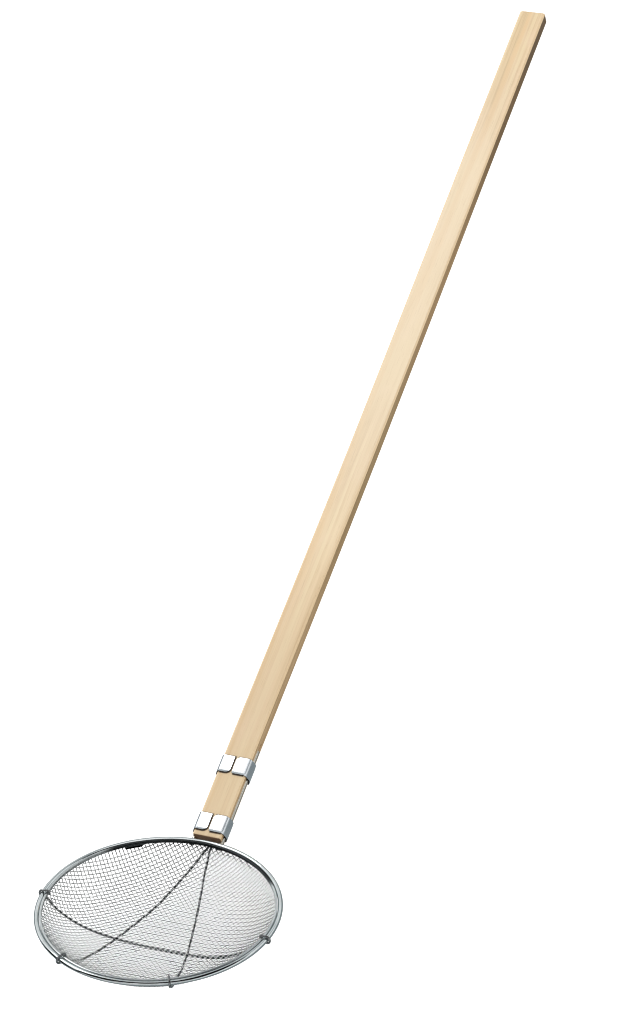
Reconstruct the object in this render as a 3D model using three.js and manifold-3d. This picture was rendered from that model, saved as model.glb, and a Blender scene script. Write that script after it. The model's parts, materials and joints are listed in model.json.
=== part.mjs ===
// Long-handled mesh skimmer: a shallow woven-wire bowl in a steel wire rim, held
// on the lower end of a flat wooden bar by two wire tangs and two sheet bands.
// Millimetres, +Z up. The skimmer lies on its back: the bar runs along +X from
// the bowl to its butt end, its front face looks up, and the rim rises toward -X.
import * as THREE from "three";
import { mergeVertices } from "three/addons/utils/BufferGeometryUtils.js";
import Module from "manifold-3d";

// ---- driving dimensions ----------------------------------------------------
const RIM_TILT = THREE.MathUtils.degToRad(25); // rim plane against the bar
const RING_R = 120; // rim ring, centre line of the wire
const RING_WIRE = 5; // rim wire diameter
const HOOP_IN = 115.0; // folded edging inside the ring
const HOOP_OUT = 117.2;
const HOOP_TOP = 2.4;
const HOOP_BOTTOM = -1.0;
const HOOP_WALL = 0.4;
const LAP_FROM = 29; // lapped seam of the edging, degrees round the rim
const LAP_TO = 41;
const BOWL_DEPTH = 33.5; // rim plane to the middle of the mesh
const BOWL_EDGE = 117;
const BOWL_FULL = [0.78, 0.26]; // fuller than a parabola: flat bottom, steep wall
const BOWL_LEAN = 0.22; // deeper toward the front than toward the handle
const MESH_THICK = 0.5;
const RIB_WIRE = 2.3; // support wires under the mesh
const RIB_GAP = 0.6; // support wire to mesh
const HOOK_GAP = 0.3; // hooked end to the rim
const V_HOOK_LEFT = 151.5; // degrees round the rim, 0 at the handle
const V_HOOK_RIGHT = -151.2;
const CROSS_HOOK = 95.8;
const CROSS_X = -11.4; // at the hooks
const CROSS_BOW = -1.7; // more in the middle
const BAR_LENGTH = 1160;
const BAR_WIDTH = 31;
const BAR_THICK = 16;
const BAR_BEVEL = 1.8; // long edges
const BAR_END_BEVEL = 1.2; // ends
const BAR_FOOT_X = 123.2; // lower edge of the front face, in the rim's frame
const BAR_FOOT_Z = 5.6;
const BAR_SIDE = 1.2; // the bar's middle from the rim's, to the left
const TANG_WIRE = 4.8;
const TANG_Y = 14.8; // centre line from the bar's middle
const TANG_DOWN = 8.6; // centre line below the bar's front face
const TANG_REACH = 112; // up the bar from its lower end
const TANG_FOOT = 8.2; // past the lower end, in under the ring
const GROOVE_R = 2.7;
const GROOVE_RUNOUT = 10;
const BAND_WIDE = 20; // along the bar
const BAND_SHEET = 1.0;
const BAND_FIRST = 6; // lower band's lower edge from the bar's lower end
const BAND_PITCH = 70;
const TAB_GAP_LEFT = 2.0; // slit between the two tabs, across the bar
const TAB_GAP_RIGHT = -0.3;
const TAB_ROUND = 5; // large tab corners
const TAB_SMALL = 1.2;

// ---- materials ---------------------------------------------------------------
const steel = (color, roughness) =>
  new THREE.MeshStandardMaterial({ color, roughness, metalness: 1 });
const wood = new THREE.MeshStandardMaterial({
  color: 0xdcc19a,
  roughness: 0.62,
  metalness: 0,
});
const ringSteel = steel(0xc6cbcd, 0.14);
const hoopSteel = steel(0xa9b2b4, 0.2);
const meshSteel = steel(0xd2d3d3, 0.3);
const ribSteel = steel(0x7e8385, 0.26);
const bandSteel = steel(0xdfe4e8, 0.2);
const tangSteel = steel(0xb2b4b3, 0.24);

// ---- solids: joining and cutting ---------------------------------------------
const wasm = await Module();
wasm.setup();

function toSolid(geometry) {
  const g = geometry.clone();
  g.deleteAttribute("normal");
  g.deleteAttribute("uv");
  const m = mergeVertices(g, 1e-4);
  return new wasm.Manifold(
    new wasm.Mesh({
      numProp: 3,
      vertProperties: new Float32Array(m.attributes.position.array),
      triVerts: new Uint32Array(m.index.array),
    }),
  );
}

function toGeometry(solid) {
  const m = solid.getMesh();
  const g = new THREE.BufferGeometry();
  g.setAttribute("position", new THREE.BufferAttribute(m.vertProperties, 3));
  g.setIndex(new THREE.BufferAttribute(m.triVerts, 1));
  g.computeVertexNormals();
  return g;
}

function flip(geometry) {
  const g = geometry.index ? geometry : mergeVertices(geometry);
  const a = g.index.array;
  for (let i = 0; i < a.length; i += 3) [a[i + 1], a[i + 2]] = [a[i + 2], a[i + 1]];
  g.computeVertexNormals();
  return g;
}

// ---- wires along a curve -------------------------------------------------------
// The curve is stepped by its control points, so bends carry close points and
// straight runs carry few.
class WireLine extends THREE.CatmullRomCurve3 {
  constructor(points) {
    super(points, false, "centripetal");
  }
  getUtoTmapping(u) {
    return u;
  }
}

function roundSection(radius, sides) {
  const s = new THREE.Shape();
  for (let i = 0; i < sides; i++) {
    const a = (i / sides) * Math.PI * 2;
    const p = [radius * Math.cos(a), radius * Math.sin(a)];
    if (i === 0) s.moveTo(...p);
    else s.lineTo(...p);
  }
  s.closePath();
  return s;
}

function wire(points, diameter, sides, stepsPerSpan) {
  const line = new WireLine(points);
  return new THREE.ExtrudeGeometry(roundSection(diameter / 2, sides), {
    extrudePath: line,
    steps: (points.length - 1) * stepsPerSpan,
    curveSegments: 1,
  });
}

// ---- bowl surface, in the rim's frame -------------------------------------------
function bowlZ(x, y) {
  const t = Math.min((x * x + y * y) / BOWL_EDGE ** 2, 1);
  const full = 1 + BOWL_FULL[0] * t + BOWL_FULL[1] * t * t;
  return -BOWL_DEPTH * (1 - t) * full * (1 - (BOWL_LEAN * x) / BOWL_EDGE);
}

// A point under the bowl at plan (x, y), off by a distance along the outward normal.
function underBowl(x, y, off) {
  const e = 0.01;
  const sx = (bowlZ(x + e, y) - bowlZ(x - e, y)) / (2 * e);
  const sy = (bowlZ(x, y + e) - bowlZ(x, y - e)) / (2 * e);
  const k = off / Math.hypot(1, sx, sy);
  return new THREE.Vector3(x + k * sx, y + k * sy, bowlZ(x, y) - k);
}

const RIB_OFF = MESH_THICK / 2 + RIB_GAP + RIB_WIRE / 2;
const CROSS_OFF = RIB_OFF + RIB_WIRE + 0.35;

// The hooked end of a support wire: in from under the bowl, out below the rim, up
// round the ring, over the edging and a little way down inside it.
function hook(degrees, lead = [[116.6, -4.95]]) {
  const a = THREE.MathUtils.degToRad(degrees);
  const k = RING_WIRE / 2 + HOOK_GAP + RIB_WIRE / 2;
  const at = (rho, z) => new THREE.Vector3(rho * Math.cos(a), rho * Math.sin(a), z);
  const round = (deg) => {
    const b = THREE.MathUtils.degToRad(deg);
    return at(RING_R + k * Math.cos(b), k * Math.sin(b));
  };
  const inner = HOOP_IN - HOOK_GAP - RIB_WIRE / 2;
  const top = HOOP_TOP + HOOK_GAP + RIB_WIRE / 2 + 0.05;
  return [
    ...lead.map(([rho, z]) => at(rho, z)),
    round(-92),
    round(-60),
    round(-30),
    round(0),
    round(32),
    round(62),
    at(RING_R - 0.4, top + 0.1),
    at(117.2, top + 0.1),
    at(115.2, top - 0.05),
    at(114.0, top - 0.75),
    at(inner, 1.9),
    at(inner - 0.05, 1.0),
    at(inner - 0.1, 0.1),
  ];
}

// ---- head: everything that lies in the rim's frame -------------------------------
const head = new THREE.Group();
head.rotation.y = RIM_TILT;

// rim ring
const ring = new THREE.Mesh(new THREE.TorusGeometry(RING_R, RING_WIRE / 2, 10, 80), ringSteel);
ring.name = "ring_wire";
head.add(ring);

// edging: an upside-down U folded over the mesh edge
const hoopProfile = [
  [HOOP_OUT, HOOP_BOTTOM],
  [HOOP_OUT, HOOP_TOP - 0.7],
  [HOOP_OUT - 0.4, HOOP_TOP - 0.15],
  [(HOOP_IN + HOOP_OUT) / 2, HOOP_TOP],
  [HOOP_IN + 0.4, HOOP_TOP - 0.15],
  [HOOP_IN, HOOP_TOP - 0.7],
  [HOOP_IN, HOOP_BOTTOM],
  [HOOP_IN + HOOP_WALL, HOOP_BOTTOM],
  [HOOP_IN + HOOP_WALL, HOOP_TOP - 0.6],
  [HOOP_OUT - HOOP_WALL, HOOP_TOP - 0.6],
  [HOOP_OUT - HOOP_WALL, HOOP_BOTTOM],
  [HOOP_OUT, HOOP_BOTTOM],
].map(([r, z]) => new THREE.Vector2(r, z));
const hoopBody = new THREE.LatheGeometry(hoopProfile, 80).rotateX(Math.PI / 2);

// the lapped end of the edging strip, laid over its inner wall and flared onto the mesh
class RimArc extends THREE.Curve {
  getPoint(t, target = new THREE.Vector3()) {
    const a = THREE.MathUtils.degToRad(LAP_FROM + (LAP_TO - LAP_FROM) * t);
    return target.set(HOOP_IN * Math.cos(a), HOOP_IN * Math.sin(a), 0);
  }
}
const lapSection = new THREE.Shape(
  [
    [115.25, 1.5],
    [114.5, 1.35],
    [114.35, -0.7],
    [113.1, -2.25],
    [113.4, -2.55],
    [114.75, -1.0],
    [115.25, -0.95],
  ].map(([r, z]) => new THREE.Vector2(-z, HOOP_IN - r)),
);
const lapBody = new THREE.ExtrudeGeometry(lapSection, {
  extrudePath: new RimArc(),
  steps: 6,
  curveSegments: 1,
});
const hoopSolid = toSolid(hoopBody).volume() < 0 ? toSolid(flip(hoopBody)) : toSolid(hoopBody);
const lapSolid = toSolid(lapBody).volume() < 0 ? toSolid(flip(lapBody)) : toSolid(lapBody);
const hoop = new THREE.Mesh(toGeometry(hoopSolid.add(lapSolid)), hoopSteel);
hoop.name = "edge_hoop";
head.add(hoop);

// mesh bowl: a thin dish with an upright lip that stands inside the edging
const LIP_R = (HOOP_IN + HOOP_OUT) / 2;
const dishLine = [];
for (const r of [0, 25, 45, 61, 75, 87, 97.5, 106, 112.5])
  dishLine.push(new THREE.Vector2(r, bowlZ(0, r)));
dishLine.push(
  new THREE.Vector2(114.6, -3.0),
  new THREE.Vector2(LIP_R - 0.25, -1.95),
  new THREE.Vector2(LIP_R, -1.1),
  new THREE.Vector2(LIP_R, HOOP_TOP - 1.0),
);
function offsetLine(line, d) {
  return line.map((p, i) => {
    const a = line[Math.max(i - 1, 0)];
    const b = line[Math.min(i + 1, line.length - 1)];
    const t = new THREE.Vector2().subVectors(b, a).normalize();
    return new THREE.Vector2(i === 0 ? 0 : p.x - t.y * d, p.y + (i === 0 ? d : t.x * d));
  });
}
const dishProfile = [
  ...offsetLine(dishLine, -MESH_THICK / 2),
  ...offsetLine(dishLine, MESH_THICK / 2).reverse(),
];
const dishGeometry = new THREE.LatheGeometry(dishProfile, 56).rotateX(Math.PI / 2);
const dishPoints = dishGeometry.attributes.position;
for (let i = 0; i < dishPoints.count; i++) {
  const [x, y] = [dishPoints.getX(i), dishPoints.getY(i)];
  const r = Math.hypot(x, y);
  const below = 1 - THREE.MathUtils.smoothstep(r, 112.9, 114.3);
  dishPoints.setZ(i, dishPoints.getZ(i) + (bowlZ(x, y) - bowlZ(0, r)) * below);
}
dishGeometry.computeVertexNormals();
const dish = new THREE.Mesh(
  toSolid(dishGeometry).volume() < 0 ? flip(dishGeometry) : dishGeometry,
  meshSteel,
);
dish.name = "mesh_bowl";
head.add(dish);

// V rib: one wire, hooked at the front left, along under the mesh to the handle,
// round a hairpin below the ring, and back to the front right
const underRing = -(RING_WIRE / 2 + HOOK_GAP + RIB_WIRE / 2);
const leftLeg = [
  [-84, 57.0],
  [-67.8, 55.7],
  [-52, 52.0],
  [-31.1, 46.1],
  [-9.1, 39.3],
  [16.6, 31.1],
  [40.7, 23.3],
  [65.5, 16.9],
  [80.7, 12.4],
  [91.7, 8.4],
  [102.8, 3.6],
  [110.0, 0.4],
];
const rightLeg = [
  [110.0, -6.1],
  [102.8, -7.0],
  [91.6, -8.7],
  [74.5, -12.8],
  [49.9, -19.1],
  [27.4, -24.8],
  [6.2, -30.0],
  [-14.2, -35.1],
  [-35.7, -39.2],
  [-55.7, -42.1],
  [-68, -44.6],
  [-83, -49.0],
];
const hairpin = [
  [115.2, -1.9, underRing - 0.95],
  [119.5, -2.6, underRing - 0.1],
  [123.0, -2.7, underRing - 0.1],
  [124.3, -3.2, underRing - 0.1],
  [124.75, -4.4, underRing - 0.1],
  [124.3, -5.6, underRing - 0.1],
  [123.0, -6.1, underRing - 0.1],
  [119.5, -6.0, underRing - 0.1],
  [115.2, -5.7, underRing - 0.95],
].map((p) => new THREE.Vector3(...p));
const vPoints = [
  ...hook(V_HOOK_LEFT).reverse(),
  underBowl(-96, 56.6, RIB_OFF),
  ...leftLeg.map(([x, y]) => underBowl(x, y, RIB_OFF)),
  ...hairpin,
  ...rightLeg.map(([x, y]) => underBowl(x, y, RIB_OFF)),
  underBowl(-95.5, -53.6, RIB_OFF),
  ...hook(V_HOOK_RIGHT),
];
const vGeometry = wire(vPoints, RIB_WIRE, 7, 2);
const vRib = new THREE.Mesh(toSolid(vGeometry).volume() < 0 ? flip(vGeometry) : vGeometry, ribSteel);
vRib.name = "v_rib";
head.add(vRib);

// cross rib: from side to side, below the V rib where they cross
const crossOff = (y) => {
  const k = y > 0 ? 0 : THREE.MathUtils.smoothstep(-y, 58, 92);
  return CROSS_OFF + (RIB_OFF - CROSS_OFF) * k;
};
const crossPoints = [
  ...hook(CROSS_HOOK, [
    [114.2, -7.6],
    [117.6, -5.15],
  ]).reverse(),
  ...[106, 100, 92, 82, 70, 56, 42, 28, 12, -4, -20, -34, -48, -62, -74, -84, -93, -101, -108].map((y) =>
    underBowl(CROSS_X + CROSS_BOW * (1 - (y / 108) ** 2), y, crossOff(y)),
  ),
  ...hook(-CROSS_HOOK),
];
const crossGeometry = wire(crossPoints, RIB_WIRE, 7, 2);
const crossRib = new THREE.Mesh(
  toSolid(crossGeometry).volume() < 0 ? flip(crossGeometry) : crossGeometry,
  ribSteel,
);
crossRib.name = "cross_rib";
head.add(crossRib);

// ---- handle and its fastenings, in the lying frame ---------------------------------
// lower end and front face of the bar, from the rim's centre
const BAR_X0 = BAR_FOOT_X * Math.cos(RIM_TILT) + BAR_FOOT_Z * Math.sin(RIM_TILT);
const BAR_Z0 = -BAR_FOOT_X * Math.sin(RIM_TILT) + BAR_FOOT_Z * Math.cos(RIM_TILT);
const MID_Z = -TANG_DOWN; // tang height, from the front face

// A section drawn across the bar (y to the left, z up) and run along +X.
const acrossBar = new THREE.Matrix4().makeBasis(
  new THREE.Vector3(0, 1, 0),
  new THREE.Vector3(0, 0, 1),
  new THREE.Vector3(1, 0, 0),
);

const bar = new THREE.Group();
bar.position.set(BAR_X0, BAR_SIDE, BAR_Z0);

const w = BAR_WIDTH / 2;
const barSection = new THREE.Shape(
  [
    [-w + BAR_BEVEL, 0],
    [-w, -BAR_BEVEL],
    [-w, -BAR_THICK + BAR_BEVEL],
    [-w + BAR_BEVEL, -BAR_THICK],
    [w - BAR_BEVEL, -BAR_THICK],
    [w, -BAR_THICK + BAR_BEVEL],
    [w, -BAR_BEVEL],
    [w - BAR_BEVEL, 0],
  ].map(([y, z]) => new THREE.Vector2(y, z)),
);
const barBlank = new THREE.ExtrudeGeometry(barSection, {
  depth: BAR_LENGTH - 2 * BAR_END_BEVEL,
  bevelEnabled: true,
  bevelThickness: BAR_END_BEVEL,
  bevelSize: BAR_END_BEVEL,
  bevelOffset: -BAR_END_BEVEL,
  bevelSegments: 1,
  curveSegments: 1,
  steps: 1,
})
  .translate(0, 0, BAR_END_BEVEL)
  .applyMatrix4(acrossBar);
let barSolid = toSolid(barBlank);
for (const side of [1, -1]) {
  const straight = new THREE.CylinderGeometry(GROOVE_R, GROOVE_R, TANG_REACH + 14, 12)
    .rotateZ(-Math.PI / 2)
    .translate((TANG_REACH - 10) / 2, side * TANG_Y, MID_Z);
  const runout = new THREE.CylinderGeometry(0.15, GROOVE_R, GROOVE_RUNOUT, 12)
    .rotateZ(-Math.PI / 2)
    .translate(TANG_REACH + 2 + GROOVE_RUNOUT / 2 - 0.01, side * TANG_Y, MID_Z);
  barSolid = barSolid.subtract(toSolid(straight)).subtract(toSolid(runout));
}
const handle = new THREE.Mesh(toGeometry(barSolid), wood);
handle.name = "handle";
bar.add(handle);

// tangs: straight rods in the side grooves, their feet welded in under the ring
for (const [name, side] of [
  ["left_tang", 1],
  ["right_tang", -1],
]) {
  const rod = new THREE.CylinderGeometry(TANG_WIRE / 2, TANG_WIRE / 2, TANG_REACH + TANG_FOOT, 12);
  const tang = new THREE.Mesh(rod, tangSteel);
  tang.name = name;
  tang.rotation.z = -Math.PI / 2;
  tang.position.set((TANG_REACH - TANG_FOOT) / 2, side * TANG_Y, MID_Z);
  bar.add(tang);
}

// bands: a sheet strip round the back and over both tangs, two tabs on the front
const lift = 0.3; // sheet to wood
const h = BAND_SHEET / 2;
const frontZ = lift + h;
const backZ = -BAR_THICK - lift - h;
const bulge = TANG_Y + TANG_WIRE / 2 + lift + h;
const edge = w + lift + h;
function halfLine(side, slit) {
  return [
    [slit, frontZ],
    [side * (w - BAR_BEVEL), frontZ],
    [side * (edge - 0.35), frontZ - 0.75],
    [side * (edge + 0.15), -BAR_BEVEL - 0.6],
    [side * bulge, MID_Z + 1.8],
    [side * bulge, MID_Z - 1.8],
    [side * (edge + 0.15), -BAR_THICK + BAR_BEVEL + 0.6],
    [side * (edge - 0.35), backZ + 0.75],
    [side * (w - BAR_BEVEL), backZ],
  ];
}
const bandLine = [
  ...halfLine(1, TAB_GAP_LEFT),
  ...halfLine(-1, TAB_GAP_RIGHT).reverse(),
].map((p) => new THREE.Vector2(...p));
function ribbon(line, thick) {
  const side = (d) =>
    line.map((p, i) => {
      const t0 = new THREE.Vector2().subVectors(p, line[Math.max(i - 1, 0)]);
      const t1 = new THREE.Vector2().subVectors(line[Math.min(i + 1, line.length - 1)], p);
      if (i === 0) t0.copy(t1);
      if (i === line.length - 1) t1.copy(t0);
      t0.normalize();
      t1.normalize();
      const t = new THREE.Vector2().addVectors(t0, t1).normalize();
      const k = d / Math.max(t.dot(t0), 0.5);
      return new THREE.Vector2(p.x - t.y * k, p.y + t.x * k);
    });
  return new THREE.Shape([...side(-thick / 2), ...side(thick / 2).reverse()]);
}
const bandSection = ribbon(bandLine, BAND_SHEET);

// What a rounded tab corner loses: a square less a quarter round.
function cornerCut(x, y, dx, dy, r) {
  const s = new THREE.Shape();
  const o = 0.6;
  s.moveTo(x - dx * o, y - dy * o);
  s.lineTo(x + dx * r, y - dy * o);
  s.lineTo(x + dx * r, y);
  for (let i = 1; i < 6; i++) {
    const a = (i / 6) * (Math.PI / 2);
    s.lineTo(x + dx * (r - r * Math.sin(a)), y + dy * (r - r * Math.cos(a)));
  }
  s.lineTo(x, y + dy * r);
  s.lineTo(x - dx * o, y + dy * r);
  s.closePath();
  return new THREE.ExtrudeGeometry(s, { depth: 3, bevelEnabled: false, curveSegments: 1 }).translate(0, 0, -1);
}
for (const [name, from] of [
  ["lower_band", BAND_FIRST],
  ["upper_band", BAND_FIRST + BAND_PITCH],
]) {
  const strip = new THREE.ExtrudeGeometry(bandSection, {
    depth: BAND_WIDE,
    bevelEnabled: false,
    curveSegments: 1,
  }).applyMatrix4(acrossBar);
  let solid = toSolid(strip);
  for (const cut of [
    cornerCut(0, TAB_GAP_LEFT, 1, 1, TAB_ROUND),
    cornerCut(BAND_WIDE, TAB_GAP_LEFT, -1, 1, TAB_SMALL),
    cornerCut(0, TAB_GAP_RIGHT, 1, -1, TAB_SMALL),
    cornerCut(BAND_WIDE, TAB_GAP_RIGHT, -1, -1, TAB_ROUND),
  ])
    solid = solid.subtract(toSolid(cut));
  const band = new THREE.Mesh(toGeometry(solid), bandSteel);
  band.name = name;
  band.position.x = from;
  bar.add(band);
}

// ---- assembly: origin under the middle of the lying skimmer -------------------------
const body = new THREE.Group();
body.add(head, bar);
body.updateMatrixWorld(true);
const box = new THREE.Box3().setFromObject(body, true);
body.position.set(-(box.min.x + box.max.x) / 2, -(box.min.y + box.max.y) / 2, -box.min.z);

const skimmer = new THREE.Group();
skimmer.name = "mesh_skimmer";
skimmer.add(body);
skimmer.updateMatrixWorld(true);

export default skimmer;
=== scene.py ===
import json
import math

import bpy
import numpy as np
from mathutils import Matrix, Vector

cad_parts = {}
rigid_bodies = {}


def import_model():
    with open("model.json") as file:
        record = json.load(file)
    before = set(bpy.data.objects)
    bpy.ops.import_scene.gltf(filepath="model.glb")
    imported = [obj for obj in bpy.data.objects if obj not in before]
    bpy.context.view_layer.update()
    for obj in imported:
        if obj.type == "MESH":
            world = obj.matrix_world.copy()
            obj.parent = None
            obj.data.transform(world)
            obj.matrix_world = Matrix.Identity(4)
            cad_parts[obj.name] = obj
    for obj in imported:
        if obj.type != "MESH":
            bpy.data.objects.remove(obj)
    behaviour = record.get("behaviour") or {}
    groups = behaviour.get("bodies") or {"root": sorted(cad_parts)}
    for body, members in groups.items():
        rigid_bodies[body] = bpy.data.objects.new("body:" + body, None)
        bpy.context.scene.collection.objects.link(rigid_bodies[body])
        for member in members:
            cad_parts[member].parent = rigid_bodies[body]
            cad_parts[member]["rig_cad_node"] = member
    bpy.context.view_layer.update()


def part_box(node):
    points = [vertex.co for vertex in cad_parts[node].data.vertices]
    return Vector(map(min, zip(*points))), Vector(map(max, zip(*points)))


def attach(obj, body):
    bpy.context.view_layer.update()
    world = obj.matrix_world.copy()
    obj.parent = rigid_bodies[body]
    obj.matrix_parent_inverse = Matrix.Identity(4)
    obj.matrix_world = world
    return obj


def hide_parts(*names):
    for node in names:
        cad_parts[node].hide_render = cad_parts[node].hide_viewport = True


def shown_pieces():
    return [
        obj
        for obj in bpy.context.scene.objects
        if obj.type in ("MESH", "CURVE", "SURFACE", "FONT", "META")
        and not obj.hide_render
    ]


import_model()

# ---------------------------------------------------------------------------
# The two working frames, in millimetres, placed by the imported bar.
# rim: origin in the middle of the rim, +x toward the handle, +z out of the bowl.
# bar: origin on the lower end of the bar's front face, +x up the bar.
# ---------------------------------------------------------------------------
TILT = math.radians(25)
CT, ST = math.cos(TILT), math.sin(TILT)
bar_low, bar_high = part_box("handle")
BAR_X, BAR_Y, BAR_Z = bar_low[0] * 1000, (bar_low[1] + bar_high[1]) * 500, bar_high[2] * 1000
RIM_X = BAR_X - (123.2 * CT + 5.6 * ST)
RIM_Z = BAR_Z - (-123.2 * ST + 5.6 * CT)


def rim(p):
    p = np.asarray(p, float)
    return np.stack(
        [CT * p[..., 0] + ST * p[..., 2] + RIM_X, p[..., 1], -ST * p[..., 0] + CT * p[..., 2] + RIM_Z],
        axis=-1,
    )


def bar(p):
    return np.asarray(p, float) + np.array([BAR_X, BAR_Y, BAR_Z])


def smoothstep(x, a, b):
    t = np.clip((np.asarray(x, float) - a) / (b - a), 0, 1)
    return t * t * (3 - 2 * t)


# ---------------------------------------------------------------------------
# Mesh building
# ---------------------------------------------------------------------------
BAKE_MAP = "OFBake"


def piece(name, verts, faces, uvs, material, node, sharp=40, second=None, where=None, painted_shade=None):
    """One shown piece from vertices in mm, in the row frame. Faces marked in where take the second material."""
    me = bpy.data.meshes.new(name)
    me.from_pydata((np.asarray(verts) * 0.001).tolist(), [], faces)
    if uvs is not None:
        layer = me.uv_layers.new(name=BAKE_MAP)
        layer.data.foreach_set("uv", np.asarray(uvs, np.float32).ravel())
    me.polygons.foreach_set("use_smooth", np.ones(len(me.polygons), bool))
    if sharp:
        me.set_sharp_from_angle(angle=math.radians(sharp))
    if painted_shade is not None:
        me.attributes.new("painted_shade", "FLOAT", "POINT").data.foreach_set("value", np.asarray(painted_shade, np.float32))
    me.materials.append(material)
    if second:
        me.materials.append(second)
        me.polygons.foreach_set("material_index", np.asarray(where, np.int32))
    me.validate()
    ob = bpy.data.objects.new(name, me)
    bpy.context.scene.collection.objects.link(ob)
    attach(ob, "root")
    if node:
        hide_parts(node)
    return ob


def strip_uv(i, j, n, m, k, first=0, rows=None):
    """Map corner of quad (i, j) of an n by m grid that is laid out in k strips."""
    rows = rows or k
    strip = min(i * k // n, k - 1)
    start = -(-strip * n // k)
    stop = -(-(strip + 1) * n // k)
    span = max(stop - start, 1)
    pad = 0.06

    def at(a, b):
        return (
            0.01 + 0.98 * (a - start) / span,
            (first + strip + pad + (1 - 2 * pad) * b / m) / rows,
        )

    return [at(i, j), at(i, j + 1), at(i + 1, j + 1), at(i + 1, j)]


def grid_faces(n, m, base=0, wrap_n=False, wrap_m=True, k=1, first=0, rows=None):
    """Quads of an n by m grid of vertices, with their bake map."""
    faces, uvs = [], []
    last_n = n if wrap_n else n - 1
    last_m = m if wrap_m else m - 1
    for i in range(last_n):
        i1 = (i + 1) % n
        for j in range(last_m):
            j1 = (j + 1) % m
            faces.append((base + i * m + j, base + i * m + j1, base + i1 * m + j1, base + i1 * m + j))
            uvs += strip_uv(i, j, last_n, last_m, k, first, rows)
    return faces, uvs


def frames_along(path):
    t = np.gradient(path, axis=0)
    t /= np.linalg.norm(t, axis=1)[:, None]
    up = np.array([0, 0, 1.0]) if abs(t[0][2]) < 0.8 else np.array([0, 1.0, 0])
    n = np.zeros_like(t)
    cur = up - t[0] * (up @ t[0])
    cur /= np.linalg.norm(cur)
    for i in range(len(t)):
        cur = cur - t[i] * (cur @ t[i])
        cur /= np.linalg.norm(cur)
        n[i] = cur
    return t, n, np.cross(t, n)


def tube(path, radius, sides, k=1, first=0, rows=None, base=0, cut=0.28):
    """A round wire along a path with slightly broken cut ends."""
    path = np.asarray(path, float)
    t, n, b = frames_along(path)
    ang = np.arange(sides) / sides * 2 * math.pi
    ring = np.cos(ang)[None, :, None] * n[:, None, :] + np.sin(ang)[None, :, None] * b[:, None, :]
    r = np.broadcast_to(np.asarray(radius, float), (len(path),))
    body = path[:, None, :] + ring * r[:, None, None]
    head = (path[0] - t[0] * cut * r[0])[None, :] + ring[0] * r[0] * (1 - cut)
    tail = (path[-1] + t[-1] * cut * r[-1])[None, :] + ring[-1] * r[-1] * (1 - cut)
    rows_v = np.concatenate([head[None], body, tail[None]])
    count = len(rows_v)
    faces, uvs = grid_faces(count, sides, base, k=k, first=first, rows=rows)
    faces.append(tuple(base + j for j in range(sides - 1, -1, -1)))
    uvs += [uvs[0]] * sides
    faces.append(tuple(base + (count - 1) * sides + j for j in range(sides)))
    uvs += [uvs[-1 - sides]] * sides
    faces = [tuple(reversed(f)) for f in faces]
    flipped, at = [], 0
    for f in faces:
        flipped += list(reversed(uvs[at : at + len(f)]))
        at += len(f)
    return rows_v.reshape(-1, 3), faces, flipped


def catmull(points, per):
    """Centripetal spline through points, as the solid model's wires run."""
    p = np.asarray(points, float)
    out = []
    for i in range(len(p) - 1):
        p1, p2 = p[i], p[i + 1]
        p0 = p[i - 1] if i > 0 else 2 * p[0] - p[1]
        p3 = p[i + 2] if i + 2 < len(p) else 2 * p[-1] - p[-2]
        d0, d1, d2 = (max(np.linalg.norm(b - a), 1e-6) ** 0.5 for a, b in ((p0, p1), (p1, p2), (p2, p3)))
        t1 = ((p1 - p0) / d0 - (p2 - p0) / (d0 + d1) + (p2 - p1) / d1) * d1
        t2 = ((p2 - p1) / d1 - (p3 - p1) / (d1 + d2) + (p3 - p2) / d2) * d1
        for s in range(per):
            t = s / per
            out.append(p1 + t1 * t + (-3 * p1 + 3 * p2 - 2 * t1 - t2) * t**2 + (2 * p1 - 2 * p2 + t1 + t2) * t**3)
    out.append(p[-1])
    return np.array(out)


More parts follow.
